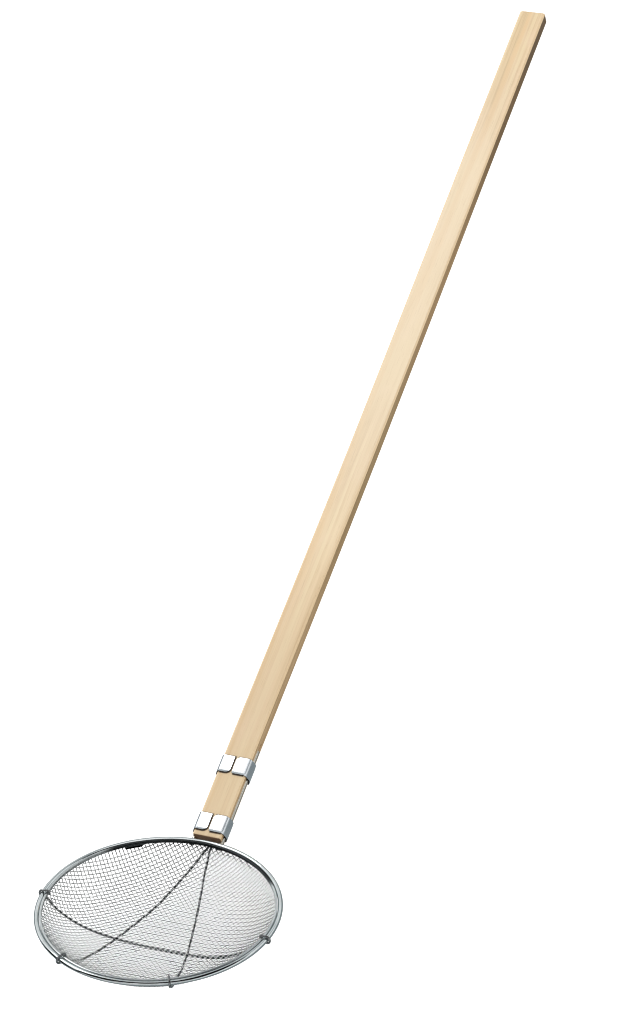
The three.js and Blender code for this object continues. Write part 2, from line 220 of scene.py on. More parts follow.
# ---------------------------------------------------------------------------
# Materials
# ---------------------------------------------------------------------------
class Mat:
    """A node material: a Principled shader and short helpers around it."""

    def __init__(self, name):
        self.m = bpy.data.materials.new(name)
        self.m.use_nodes = True
        self.nt = self.m.node_tree
        self.bsdf = self.nt.nodes["Principled BSDF"]
        self.obj = self.node("ShaderNodeTexCoord").outputs["Object"]

    def node(self, kind, **props):
        n = self.nt.nodes.new(kind)
        for k, v in props.items():
            setattr(n, k, v)
        return n

    def link(self, a, b):
        self.nt.links.new(a, b)

    def put(self, socket, value):
        if isinstance(value, bpy.types.NodeSocket):
            self.link(value, socket)
        else:
            socket.default_value = value

    def set(self, **values):
        for k, v in values.items():
            self.put(self.bsdf.inputs[k.replace("_", " ")], v)

    def scaled(self, scale, shift=(0, 0, 0), vector=None):
        n = self.node("ShaderNodeMapping")
        self.link(vector or self.obj, n.inputs["Vector"])
        n.inputs["Scale"].default_value = scale
        n.inputs["Location"].default_value = shift
        return n.outputs["Vector"]

    def noise(self, vector, scale=1.0, detail=3.0, rough=0.5, distort=0.0):
        n = self.node("ShaderNodeTexNoise")
        self.link(vector, n.inputs["Vector"])
        n.inputs["Scale"].default_value = scale
        n.inputs["Detail"].default_value = detail
        n.inputs["Roughness"].default_value = rough
        n.inputs["Distortion"].default_value = distort
        return n.outputs["Fac"]

    def ramp(self, fac, stops, interp="LINEAR"):
        n = self.node("ShaderNodeValToRGB")
        n.color_ramp.interpolation = interp
        el = n.color_ramp.elements
        while len(el) < len(stops):
            el.new(0.5)
        for e, (pos, col) in zip(el, stops):
            e.position = pos
            e.color = (*col, 1) if not isinstance(col, (int, float)) else (col, col, col, 1)
        self.link(fac, n.inputs["Fac"])
        return n.outputs["Color"]

    def math(self, op, a, b=0.0, clamp=False):
        n = self.node("ShaderNodeMath", operation=op, use_clamp=clamp)
        self.put(n.inputs[0], a)
        self.put(n.inputs[1], b)
        return n.outputs[0]

    def fit(self, value, a, b, c=0.0, d=1.0, kind="SMOOTHSTEP"):
        n = self.node("ShaderNodeMapRange", interpolation_type=kind)
        self.put(n.inputs["Value"], value)
        for k, v in (("From Min", a), ("From Max", b), ("To Min", c), ("To Max", d)):
            n.inputs[k].default_value = v
        return n.outputs["Result"]

    def mix(self, fac, a, b, kind="MIX"):
        n = self.node("ShaderNodeMix", data_type="RGBA", blend_type=kind)
        self.put(n.inputs["Factor"], fac)
        for s, v in ((n.inputs[6], a), (n.inputs[7], b)):
            if isinstance(v, bpy.types.NodeSocket):
                self.link(v, s)
            else:
                s.default_value = (*v, 1) if len(v) == 3 else v
        return n.outputs[2]

    def xyz(self, vector):
        n = self.node("ShaderNodeSeparateXYZ")
        self.link(vector, n.inputs[0])
        return n.outputs

    def bump(self, height, strength, distance):
        n = self.node("ShaderNodeBump")
        n.inputs["Strength"].default_value = strength
        n.inputs["Distance"].default_value = distance
        self.link(height, n.inputs["Height"])
        self.link(n.outputs["Normal"], self.bsdf.inputs["Normal"])


def speck_in(m):
    return m.noise(m.scaled((500, 500, 500), (9, 4, 2)), 1.0, 2.0, 0.55)


def wood_material():
    m = Mat("pale_softwood")
    geo = m.node("ShaderNodeNewGeometry")
    nx, ny, nz = (m.math("ABSOLUTE", s) for s in m.xyz(geo.outputs["Normal"]))

    # slow wander of the grain, then streaks drawn out along the bar
    up_bar = m.math("MULTIPLY", m.math("SUBTRACT", m.xyz(m.obj)[0], BAR_X * 0.001), 1000.0)  # mm from the lower end
    wander = m.noise(m.scaled((3.2, 22, 22)), 1.0, 2.0, 0.5)
    off = m.node("ShaderNodeCombineXYZ")
    m.link(m.math("MULTIPLY", m.math("SUBTRACT", wander, 0.5), 0.006), off.inputs[1])
    m.link(m.math("MULTIPLY", m.math("SUBTRACT", wander, 0.5), 0.004), off.inputs[2])
    add = m.node("ShaderNodeVectorMath", operation="ADD")
    m.link(m.obj, add.inputs[0])
    m.link(off.outputs[0], add.inputs[1])
    p = add.outputs[0]

    broad = m.noise(m.scaled((2.6, 150, 130), vector=p), 1.0, 3.0, 0.55)
    fine = m.noise(m.scaled((7, 700, 600), vector=p), 1.0, 3.0, 0.6)
    pores = m.noise(m.scaled((38, 1700, 1500), (3, 1, 7), vector=p), 1.0, 2.0, 0.55)
    patch = m.noise(m.scaled((16, 30, 30), (5, 2, 1)), 1.0, 3.0, 0.55, 0.6)
    slow = m.noise(m.scaled((5, 14, 14), (1, 8, 3)), 1.0, 2.0, 0.5)

    streak = m.math("ADD", m.math("MULTIPLY", broad, 0.62), m.math("MULTIPLY", fine, 0.38))
    face = m.ramp(
        streak,
        [
            (0.33, (0.600, 0.420, 0.235)),
            (0.45, (0.735, 0.545, 0.330)),
            (0.54, (0.805, 0.612, 0.388)),
            (0.66, (0.865, 0.680, 0.450)),
        ],
    )
    face = m.mix(m.fit(patch, 0.42, 0.68, 0.0, 0.45), face, (0.850, 0.630, 0.450))
    face = m.mix(m.fit(slow, 0.40, 0.66, 0.0, 0.45), face, (0.870, 0.700, 0.440))
    # long orange and yellow streaks
    band = m.noise(m.scaled((1.5, 105, 95), (4, 9, 6), vector=p), 1.0, 2.0, 0.5)
    face = m.mix(m.fit(band, 0.54, 0.66, 0.0, 0.55), face, (0.790, 0.545, 0.300))
    face = m.mix(m.fit(band, 0.46, 0.36, 0.0, 0.45), face, (0.880, 0.730, 0.480))
    # paler along the middle of the bar, partly drier wood and partly a painted sheen; darker towards the lower end
    dry_and_sheen = m.math("MULTIPLY", m.fit(up_bar, 220, 640), m.fit(up_bar, 1150, 860))
    face = m.mix(m.math("MULTIPLY", dry_and_sheen, 0.55), face, (0.915, 0.780, 0.590))
    face = m.mix(m.fit(up_bar, 430, 180, 0.0, 0.46), face, (0.640, 0.480, 0.300))
    face = m.mix(m.fit(pores, 0.60, 0.78, 0.0, 0.34), face, (0.440, 0.280, 0.140))
    # painted shadow: a dark line on the wood under the lower edges of the band tabs and in the slit between them, where
    # their shade falls
    across = m.math("MULTIPLY", m.math("SUBTRACT", m.xyz(m.obj)[1], BAR_Y * 0.001), 1000.0)
    for first in (6.0, 76.0):
        run = m.math("SUBTRACT", up_bar, first)
        dx = m.math("MAXIMUM", m.math("SUBTRACT", 5.0, run), 0.0)
        dy = m.math("MAXIMUM", m.math("SUBTRACT", 7.0, across), 0.0)
        off_left = m.math("SUBTRACT", m.math("SQRT", m.math("ADD", m.math("MULTIPLY", dx, dx), m.math("MULTIPLY", dy, dy))), 5.0)
        near_left = m.math("MULTIPLY", m.fit(off_left, 1.9, 0.7), m.fit(across, -0.6, 0.6))
        near_right = m.math("MULTIPLY", m.fit(run, -1.9, -0.7), m.fit(across, -0.6, -2.0))
        under = m.math("MULTIPLY", m.math("MAXIMUM", near_left, near_right), m.fit(run, 22.0, 20.0))
        tab_shadow_line = m.math("MULTIPLY", under, m.math("MULTIPLY", m.fit(nz, 0.5, 0.8), m.fit(speck_in(m), 0.2, 0.5, 0.70, 0.95)))
        face = m.mix(tab_shadow_line, face, (0.060, 0.042, 0.030))

    # narrow sides: browner, with a stronger grain, and painted darker as the shade that falls on them; darker towards
    # the upper end of the bar
    side = m.ramp(
        streak,
        [(0.34, (0.440, 0.270, 0.125)), (0.50, (0.620, 0.415, 0.215)), (0.64, (0.740, 0.520, 0.290))],
    )
    side = m.mix(m.fit(up_bar, 220, 430, 0.0, 0.50), side, (0.330, 0.215, 0.085))
    side = m.mix(m.fit(up_bar, 540, 680, 0.0, 0.30), side, (0.560, 0.330, 0.165))
    side = m.mix(m.fit(up_bar, 760, 1000, 0.0, 0.70), side, (0.166, 0.094, 0.038))
    side = m.mix(m.fit(up_bar, 1030, 1100, 0.0, 0.65), side, (0.180, 0.118, 0.068))
    face = m.mix(m.fit(ny, 0.80, 0.97), face, side)
    # painted highlight: the bevels are painted paler, as the light line along them
    bevel_highlight = m.math("MULTIPLY", m.fit(ny, 0.30, 0.60), m.fit(nz, 0.30, 0.60))
    face = m.mix(m.math("MULTIPLY", bevel_highlight, 0.75), face, (0.930, 0.690, 0.420))
    # end grain
    rings = m.node("ShaderNodeTexWave", wave_type="RINGS", rings_direction="X")
    m.link(m.scaled((0, 210, 260), (0, 3.2, 5.1), vector=p), rings.inputs["Vector"])
    rings.inputs["Scale"].default_value = 1.0
    rings.inputs["Distortion"].default_value = 1.6
    rings.inputs["Detail"].default_value = 2.0
    speck = m.noise(m.scaled((900, 900, 900)), 1.0, 2.0, 0.6)
    ends = m.ramp(
        m.math("ADD", m.math("MULTIPLY", rings.outputs["Fac"], 0.6), m.math("MULTIPLY", speck, 0.4)),
        [(0.25, (0.120, 0.060, 0.030)), (0.60, (0.215, 0.115, 0.058)), (0.9, (0.270, 0.160, 0.085))],
    )
    face = m.mix(m.fit(nx, 0.55, 0.92), face, ends)
    m.set(Base_Color=face)
    m.set(Roughness=m.fit(streak, 0.3, 0.7, 0.66, 0.50, "LINEAR"))
    m.bsdf.inputs["Specular IOR Level"].default_value = 0.34
    m.bump(m.math("ADD", m.math("MULTIPLY", fine, 0.6), m.math("MULTIPLY", pores, 0.5)), 0.28, 0.0002)
    return m.m


def steel_material(name, low, high, rough, cloud=60.0, scratch=(40, 900, 900), bump=0.05, rough_var=0.06, painted_dark_zone=None, painted_shade=None):
    """Polished wire or sheet: cloudy tone, fine drawn scratches, uneven polish.
    An optional zone where it is painted darker past a plane (painted shade under the mesh on the support wires, a
    painted dark reflection on the edging), and an optional colour for painted shade carried by a per-vertex attribute."""
    m = Mat(name)
    clouds = m.noise(m.scaled((cloud, cloud, cloud)), 1.0, 4.0, 0.55, 0.3)
    drawn = m.noise(m.scaled(scratch, (2, 5, 1)), 1.0, 3.0, 0.6)
    grime = m.noise(m.scaled((260, 260, 260), (7, 1, 4)), 1.0, 2.0, 0.5)
    tone = m.math("ADD", m.math("MULTIPLY", clouds, 0.7), m.math("MULTIPLY", drawn, 0.3))
    col = m.ramp(tone, [(0.30, low), (0.68, high)])
    col = m.mix(m.fit(grime, 0.62, 0.80, 0.0, 0.22), col, tuple(c * 0.55 for c in low))
    if painted_dark_zone:
        # painted dark zone: darker past a plane through the rim, with an uneven edge
        towards, a, b, dark_tone = painted_dark_zone
        dot = m.node("ShaderNodeVectorMath", operation="DOT_PRODUCT")
        m.link(m.scaled((1, 1, 1), (-RIM_X * 0.001, 0, -RIM_Z * 0.001)), dot.inputs[0])
        dot.inputs[1].default_value = towards
        uneven = m.math("ADD", dot.outputs["Value"], m.math("MULTIPLY", m.math("SUBTRACT", clouds, 0.5), abs(b - a) * 0.8))
        col = m.mix(m.fit(uneven, a, b), col, m.ramp(tone, [(0.30, tuple(c * 0.8 for c in dark_tone)), (0.68, dark_tone)]))
    if painted_shade:
        # painted shade: a per-vertex amount darkens the colour toward the given shade colour
        shade_here = m.node("ShaderNodeAttribute", attribute_name="painted_shade").outputs["Fac"]
        shade_weight = m.math("MULTIPLY", shade_here, m.fit(grime, 0.25, 0.60, 0.93, 1.0))
        col = m.mix(shade_weight, col, painted_shade)
    m.set(Base_Color=col, Metallic=1.0)
    m.set(Roughness=m.fit(tone, 0.3, 0.7, rough + rough_var, max(rough - rough_var, 0.04), "LINEAR"))
    m.bump(m.math("ADD", drawn, m.math("MULTIPLY", clouds, 0.6)), bump, 0.0002)
    return m.m


wood = wood_material()
ring_steel = steel_material("polished_rim_wire", (0.60, 0.64, 0.65), (0.80, 0.83, 0.835), 0.10)
# the edging is painted near-black on the handle's side: a painted dark reflection there, also standing for heat tint
# where the ring was welded
hoop_steel = steel_material(
    "rolled_edging", (0.60, 0.625, 0.63), (0.78, 0.80, 0.805), 0.16, painted_dark_zone=((CT, 0, -ST), 0.066, 0.080, (0.050, 0.056, 0.058))
)
# the cloth is rubbed bright, with painted shade on the slopes of the wires that face the handle
mesh_steel = steel_material(
    "woven_bright_wire", (0.60, 0.60, 0.595), (0.80, 0.80, 0.79), 0.30, 90.0, bump=0.02, painted_shade=(0.045, 0.046, 0.048)
)
# the support wires are painted darker under the mesh, as the shade there; the hooks keep the lighter steel
rib_steel = steel_material(
    "drawn_rib_wire", (0.24, 0.245, 0.25), (0.40, 0.41, 0.415), 0.24, painted_dark_zone=((ST, 0, CT), -0.0045, -0.0075, (0.105, 0.107, 0.110))
)
tang_steel = steel_material("tang_wire", (0.56, 0.52, 0.45), (0.74, 0.69, 0.60), 0.26, bump=0.10)
band_steel = steel_material(
    "plated_band_sheet", (0.69, 0.72, 0.755), (0.85, 0.88, 0.91), 0.22, 110.0, (900, 120, 120), 0.06
)
# near-black cut edges and inside of the band sheet: painted shade along the edges, partly the dark of oxidised cut
# steel
edge_steel = steel_material("sheared_band_edge", (0.020, 0.021, 0.022), (0.050, 0.052, 0.055), 0.45, 400.0, bump=0.2)
weld_steel = steel_material("weld_bead", (0.26, 0.26, 0.265), (0.44, 0.44, 0.44), 0.36, 300.0, (400, 400, 400), 0.3)

# ---------------------------------------------------------------------------
# Handle: bevelled bar with broken edges and a groove in each narrow side
# ---------------------------------------------------------------------------
BAR_L, BAR_W, BAR_T, BEVEL = 1160.0, 15.5, 16.0, 1.8
TANG_Y, TANG_DOWN, GROOVE, ARC, EASE = 14.8, 8.6, 2.7, 10, 0.32


def broken_corner(a, c, b, r, n=3):
    """Points that round corner c between a and b."""
    a, b, c = (np.asarray(v, float) for v in (a, b, c))
    u, v = (a - c) / np.linalg.norm(a - c), (b - c) / np.linalg.norm(b - c)
    p, q = c + u * r, c + v * r
    t = np.linspace(0, 1, n)[:, None]
    return (1 - t) ** 2 * p + 2 * t * (1 - t) * c + t**2 * q


def bar_section(inset, rho):
    w, top, low = BAR_W - inset, -inset, -BAR_T + inset
    b = BEVEL
    corners = [
        (w - b, top), (w, top - b), (w, low + b), (w - b, low),
        (-w + b, low), (-w, low + b), (-w, top - b), (-w + b, top),
    ]

    def groove(side):
        gap = w - TANG_Y
        if rho > abs(gap) + 0.02:
            f0 = math.acos(gap / rho)
            f = np.linspace(f0, 2 * math.pi - f0, ARC + 1)
            pts = np.stack([TANG_Y + rho * np.cos(f), -TANG_DOWN + rho * np.sin(f)], 1)
        else:
            half = 0.03 if rho > 0 else 2.5
            z = np.linspace(half, -half, ARC + 1) - TANG_DOWN
            pts = np.stack([np.full(ARC + 1, w), z], 1)
        if side < 0:
            pts = pts[::-1] * np.array([-1, 1])
        return pts

    pts = []
    for i, c in enumerate(corners):
        d = np.asarray(corners[(i + 1) % 8], float)
        c = np.asarray(c, float)
        run = (d - c) / np.linalg.norm(d - c)
        pts.append(broken_corner(corners[i - 1], c, d, EASE, 4))
        pts.append([c + run * (EASE + 0.22)])  # holds the flat face flat
        if i == 1:
            pts.append(groove(1))
        if i == 5:
            pts.append(groove(-1))
        if i in (3, 7):
            pts.append(np.array([c + (d - c) * t for t in (0.25, 0.5, 0.75)]))
        pts.append([d - run * (EASE + 0.22)])
    return np.concatenate(pts)


CELLS, SHEETS = 4, 14
RIB_END = 114.0 + 10.0 * (1 - 0.7 / GROOVE)
stations = [(0, 1.55, GROOVE), (0.12, 1.0, GROOVE), (0.5, 0.42, GROOVE), (1.1, 0.09, GROOVE), (1.8, 0.0, GROOVE)]
stations += [(2.6, 0.0, GROOVE), (114.0, 0.0, GROOVE)]
stations += [(114.0 + 10 * t, 0.0, GROOVE * (1 - t)) for t in (0.2, 0.4, 0.55, 0.66, 0.73)]
stations += [(RIB_END + 0.15, 0.0, 0.01), (RIB_END + 2.5, 0.0, 0.0)]
stations += [(BAR_L - 2.6, 0.0, 0.0), (BAR_L - 1.8, 0.0, 0.0), (BAR_L - 1.1, 0.09, 0.0), (BAR_L - 0.5, 0.42, 0.0)]
stations += [(BAR_L - 0.12, 1.0, 0.0), (BAR_L, 1.55, 0.0)]
known = sorted(s[0] for s in stations)
for k in range(1, SHEETS):
    x = BAR_L * k / SHEETS
    if x < 114:
        stations.append((x, 0.0, GROOVE))
    elif x > RIB_END + 2.5:
        stations.append((x, 0.0, 0.0))
stations.sort()
BOW_X, BOW_Y = (120, 300, 480, 700, 900, 1150), (0, -1.2, -1.8, -1.2, 0, 1.0)  # the bar is not dead straight
rows = []
for x, inset, rho in stations:
    sec = bar_section(inset, rho)
    sec[:, 0] += np.interp(x, BOW_X, BOW_Y)
    rows.append(np.column_stack([np.full(len(sec), x), sec]))
rows = np.array(rows)
n_st, n_pt = rows.shape[:2]
around = np.concatenate([[0], np.cumsum(np.linalg.norm(np.diff(rows[6], axis=0), axis=1))])
around = np.append(around, around[-1] + np.linalg.norm(rows[6][0] - rows[6][-1]))
around /= around[-1]


def cell(k, u, v):
    return ((k % CELLS + 0.02 + 0.96 * u) / CELLS, (k // CELLS + 0.02 + 0.96 * v) / CELLS)


faces, uvs = [], []
for i in range(n_st - 1):
    x0, x1 = stations[i][0], stations[i + 1][0]
    k = min(int((x0 + x1) / 2 / BAR_L * SHEETS), SHEETS - 1)
    a, c = (x0 / BAR_L * SHEETS - k, x1 / BAR_L * SHEETS - k)
    for j in range(n_pt):
        j1 = (j + 1) % n_pt
        faces.append((i * n_pt + j, i * n_pt + j1, (i + 1) * n_pt + j1, (i + 1) * n_pt + j))
        uvs += [cell(k, around[j], a), cell(k, around[j + 1], a), cell(k, around[j + 1], c), cell(k, around[j], c)]
for i, k, back in ((0, 14, True), (n_st - 1, 15, False)):
    order = range(n_pt - 1, -1, -1) if back else range(n_pt)
    faces.append(tuple(i * n_pt + j for j in order))
    uvs += [cell(k, 0.5 + rows[i, j, 1] / 40, 0.9 + rows[i, j, 2] / 20) for j in order]
faces_out = [tuple(reversed(f)) for f in faces]
uv_out, at = [], 0
for f in faces:
    uv_out += list(reversed(uvs[at : at + len(f)]))
    at += len(f)
piece("bar_handle", bar(rows.reshape(-1, 3)), faces_out, uv_out, wood, "handle", 38)

# ---------------------------------------------------------------------------
# Rim ring
# ---------------------------------------------------------------------------
RING_R, RING_D = 120.0, 5.0
az = np.linspace(0, 2 * math.pi, 320, endpoint=False)
th = np.linspace(0, 2 * math.pi, 44, endpoint=False)
rho = RING_R + RING_D / 2 * np.cos(th)[None, :] + 0 * az[:, None]
zz = RING_D / 2 * np.sin(th)[None, :] + 0 * az[:, None]
verts = np.stack([rho * np.cos(az)[:, None], rho * np.sin(az)[:, None], zz], -1)
f, u = grid_faces(320, 44, wrap_n=True, k=7)
piece("rim_ring", rim(verts.reshape(-1, 3)), f, u, ring_steel, "ring_wire", 0)

# ---------------------------------------------------------------------------
# Edging: a folded strip over the mesh edge, with its lapped seam
# ---------------------------------------------------------------------------
HOOP_IN, HOOP_OUT, HOOP_TOP, HOOP_LOW, WALL = 115.0, 117.2, 2.4, -1.0, 0.4
mid = (HOOP_IN + HOOP_OUT) / 2
hw = (HOOP_OUT - HOOP_IN) / 2
crown = 0.42
profile = [(HOOP_OUT - 0.10, HOOP_LOW), (HOOP_OUT, HOOP_LOW + 0.14), (HOOP_OUT, HOOP_TOP - crown)]
for d in range(15, 180, 15):
    profile.append((mid + hw * math.cos(math.radians(d)), HOOP_TOP - crown + crown * math.sin(math.radians(d))))
profile += [(HOOP_IN, HOOP_TOP - crown), (HOOP_IN, HOOP_LOW + 0.14), (HOOP_IN + 0.10, HOOP_LOW)]
profile += [(HOOP_IN + WALL - 0.08, HOOP_LOW), (HOOP_IN + WALL, HOOP_LOW + 0.1), (HOOP_IN + WALL, HOOP_TOP - crown - 0.5)]
for d in (140, 90, 40):
    q = hw - WALL
    profile.append((mid + q * math.cos(math.radians(d)), HOOP_TOP - crown - 0.5 + 0.5 * math.sin(math.radians(d))))
profile += [(HOOP_OUT - WALL, HOOP_TOP - crown - 0.5), (HOOP_OUT - WALL, HOOP_LOW + 0.1), (HOOP_OUT - WALL + 0.08, HOOP_LOW)]
profile = np.array(profile)
verts = np.stack(
    [
        profile[None, :, 0] * np.cos(az)[:, None],
        profile[None, :, 0] * np.sin(az)[:, None],
        profile[None, :, 1] + 0 * az[:, None],
    ],
    -1,
).reshape(-1, 3)
f, u = grid_faces(320, len(profile), wrap_n=True, k=7, rows=8)
lap = np.array(
    [(115.25, 1.5), (114.75, 1.55), (114.52, 1.32), (114.40, 0.4), (114.35, -0.7), (113.75, -1.45), (113.1, -2.25),
     (113.18, -2.5), (113.4, -2.55), (114.15, -1.75), (114.75, -1.0), (115.25, -0.95)]
)
lap_az = np.radians(np.concatenate([[29.0, 29.15], np.linspace(29.6, 40.4, 16), [40.85, 41.0]]))
lap_mid = np.array([114.55, 0.0])
lap_rows = []
for a in lap_az:
    e = min(a - lap_az[0], lap_az[-1] - a) / math.radians(0.6)
    q = lap_mid + (lap - lap_mid) * (0.80 + 0.20 * min(1, e) ** 0.5)
    # the strip's end is cut on the slant, longer at the top
    slant = a + math.radians(3.6) * (1.5 - q[:, 1]) / 4.05 * (1 - float(smoothstep(a, math.radians(29), math.radians(36))))
    lap_rows.append(np.stack([q[:, 0] * np.cos(slant), q[:, 0] * np.sin(slant), q[:, 1]], 1))
lap_rows = np.array(lap_rows)
base = len(verts)
lf, lu = grid_faces(len(lap_rows), len(lap), base, k=1, first=7, rows=8)
lf.append(tuple(base + j for j in range(len(lap) - 1, -1, -1)))
lu += [lu[0]] * len(lap)
lf.append(tuple(base + (len(lap_rows) - 1) * len(lap) + j for j in range(len(lap))))
lu += [lu[-1 - len(lap)]] * len(lap)
verts = np.concatenate([verts, lap_rows.reshape(-1, 3)])
piece("rim_edging", rim(verts), f + lf, u + lu, hoop_steel, "edge_hoop", 42)

# ---------------------------------------------------------------------------
# Woven bowl: plain weave pressed to the bowl's shape, wires at 45 degrees to
# the handle, ends turned up into the edging
# ---------------------------------------------------------------------------
DEPTH, EDGE, FULL, LEAN = 33.5, 117.0, (0.78, 0.26), 0.22
PITCH, WIRE, SWING = 3.97, 0.95, 0.50


def bowl_z(x, y):
    t = np.minimum((x * x + y * y) / EDGE**2, 1.0)
    return -DEPTH * (1 - t) * (1 + FULL[0] * t + FULL[1] * t * t) * (1 - LEAN * x / EDGE)


def bowl_slope(x, y, e=0.01):
    return (bowl_z(x + e, y) - bowl_z(x - e, y)) / (2 * e), (bowl_z(x, y + e) - bowl_z(x, y - e)) / (2 * e)


def dish_z(x, y):
    """The middle of the cloth: the bowl, then a short lip up to the edging."""
    r = np.maximum(np.hypot(x, y), 1e-6)
    k = np.minimum(112.5 / r, 1.0)
    low = bowl_z(x * k, y * k)
    lip = np.where(r < 114.6, low + (-3.0 - low) * (r - 112.5) / 2.1, -3.0 + 1.05 * (r - 114.6) / 1.25)
    return np.where(r <= 112.5, low, lip)


# how far the pressed cloth has drawn in: place in the flat cloth against place in plan
PLAN = np.linspace(0, 117, 235)
CLOTH = np.concatenate([[0], np.cumsum(np.hypot(np.diff(PLAN), np.diff(bowl_z(0 * PLAN, PLAN))))])
CLOTH = (PLAN + CLOTH) / 2


def weave(direction):
    """All wires of one direction: 0 along (1, 1), 1 along (1, -1)."""
    e = np.array([[1, 1], [1, -1]][direction]) / math.sqrt(2)
    g = np.array([[1, -1], [1, 1]][direction]) / math.sqrt(2)
    index = [i for i in range(-32, 32) if abs((i + 0.5) * PITCH) < np.interp(113.2, PLAN, CLOTH)]
    verts, faces, uvs, painted_shade, base = [], [], [], [], 0
    for order, i in enumerate(index):
        v = (i + 0.5) * PITCH
        reach = math.sqrt(np.interp(115.85, PLAN, CLOTH) ** 2 - v * v)
        count = max(int(round(2 * reach)), 8)
        s = np.linspace(-reach, reach, count + 1)
        x, y = e[0] * s + g[0] * v, e[1] * s + g[1] * v
        flat = np.hypot(x, y)
        r = np.interp(flat, CLOTH, PLAN)
        x, y = x * r / flat, y * r / flat
        k = np.minimum(112.5 / r, 1.0)
        sx, sy = bowl_slope(x * k, y * k)
        normal = np.stack([-sx, -sy, np.ones_like(sx)], 1) / np.sqrt(1 + sx**2 + sy**2)[:, None]
        sign = (-1) ** i * (1 if direction == 0 else -1)
        swing = sign * np.sin(math.pi * s / PITCH) * SWING * (1 - 0.3 * smoothstep(r, 113.5, 115.8))
        path = np.stack([x, y, dish_z(x, y)], 1) + normal * swing[:, None]
        ends = []
        for q in (path[0], path[-1]):
            d = q[:2] / np.hypot(*q[:2])
            ends.append([(d[0] * a, d[1] * a, b) for a, b in ((116.08, -1.15), (116.1, -0.3), (116.1, 0.7))])
        path = np.concatenate([np.array(ends[0][::-1]), path, np.array(ends[1])])
        tv, tf, tu = tube(rim(path), WIRE / 2, 6, 1, order, len(index), base)
        # painted shade stronger towards the right wall, weaker at the rear and left
        shade_weight = smoothstep(-y, 30, 75)
        less_shade = np.maximum(smoothstep(x, 0, 60), smoothstep(y, 40, 80)) * (1 - shade_weight)
        most = 0.85 + 0.15 * shade_weight - 0.33 * less_shade if direction else 0.50 + 0.35 * shade_weight - 0.25 * less_shade
        slope_shade = np.clip(-sign * np.cos(math.pi * s / PITCH), 0, 1) ** (1.1 - 0.4 * shade_weight) * most
        # the edging's painted dark reflection carried on over the cloth's edge on the handle's side
        slope_shade = np.maximum(slope_shade, 0.95 * smoothstep(r, 111.0, 113.2) * smoothstep(x, 66, 80))
        painted_shade.append(np.repeat(np.concatenate([np.zeros(4), slope_shade, np.zeros(4)]), 6))
        verts.append(tv)
        faces += tf
        uvs += tu
        base += len(tv)
    return np.concatenate(verts), faces, uvs, np.concatenate(painted_shade)


for name, direction in (("bowl_weave_a", 0), ("bowl_weave_b", 1)):
    v, f, u, painted_shade = weave(direction)
    piece(name, v, f, u, mesh_steel, "mesh_bowl", 0, painted_shade=painted_shade)

# ---------------------------------------------------------------------------
# Support wires under the mesh
# ---------------------------------------------------------------------------
RIB = 2.3


def under_bowl(x, y, off):
    sx, sy = bowl_slope(x, y)
    k = off / math.sqrt(1 + sx**2 + sy**2)
    return (x + k * sx, y + k * sy, float(bowl_z(x, y)) - k)


def hook(degrees, lead=((116.6, -4.95),)):
    a = math.radians(degrees)
    k = RING_D / 2 + 0.3 + RIB / 2
    pts = list(lead)
    pts += [(RING_R + k * math.cos(math.radians(d)), k * math.sin(math.radians(d))) for d in (-92, -60, -30, 0, 32, 62)]
    top = 3.9
    pts += [(119.6, top + 0.1), (117.2, top + 0.1), (115.2, top - 0.05), (114.0, top - 0.75)]
    pts += [(113.55, 1.9), (113.5, 1.0), (113.45, 0.1)]
    return [(p * math.cos(a), p * math.sin(a), z) for p, z in pts]


U = -3.95
left_leg = [(-84, 57), (-67.8, 55.7), (-52, 52), (-31.1, 46.1), (-9.1, 39.3), (16.6, 31.1), (40.7, 23.3), (65.5, 16.9),
            (80.7, 12.4), (91.7, 8.4), (102.8, 3.6), (110, 0.4)]
right_leg = [(110, -6.1), (102.8, -7), (91.6, -8.7), (74.5, -12.8), (49.9, -19.1), (27.4, -24.8), (6.2, -30),
             (-14.2, -35.1), (-35.7, -39.2), (-55.7, -42.1), (-68, -44.6), (-83, -49)]
hairpin = [(115.2, -1.9, U - 0.95), (119.5, -2.6, U - 0.1), (123, -2.7, U - 0.1), (124.3, -3.2, U - 0.1),
           (124.75, -4.4, U - 0.1), (124.3, -5.6, U - 0.1), (123, -6.1, U - 0.1), (119.5, -6, U - 0.1),
           (115.2, -5.7, U - 0.95)]
v_points = hook(151.5)[::-1] + [under_bowl(-96, 56.6, 2.0)] + [under_bowl(x, y, 2.0) for x, y in left_leg]
v_points += hairpin + [under_bowl(x, y, 2.0) for x, y in right_leg] + [under_bowl(-95.5, -53.6, 2.0)] + hook(-151.2)
v, f, u = tube(rim(catmull(v_points, 6)), RIB / 2, 12, k=8)
piece("v_support", v, f, u, rib_steel, "v_rib", 45)


def cross_off(y):
    return 4.65 + (2.0 - 4.65) * (0.0 if y > 0 else float(smoothstep(-y, 58, 92)))


ys = [106, 100, 92, 82, 70, 56, 42, 28, 12, -4, -20, -34, -48, -62, -74, -84, -93, -101, -108]
c_points = hook(95.8, ((114.2, -7.6), (117.6, -5.15)))[::-1]
c_points += [under_bowl(-11.4 - 1.7 * (1 - (y / 108) ** 2), y, cross_off(y)) for y in ys] + hook(-95.8)
v, f, u = tube(rim(catmull(c_points, 6)), RIB / 2, 12, k=6)
piece("cross_support", v, f, u, rib_steel, "cross_rib", 45)

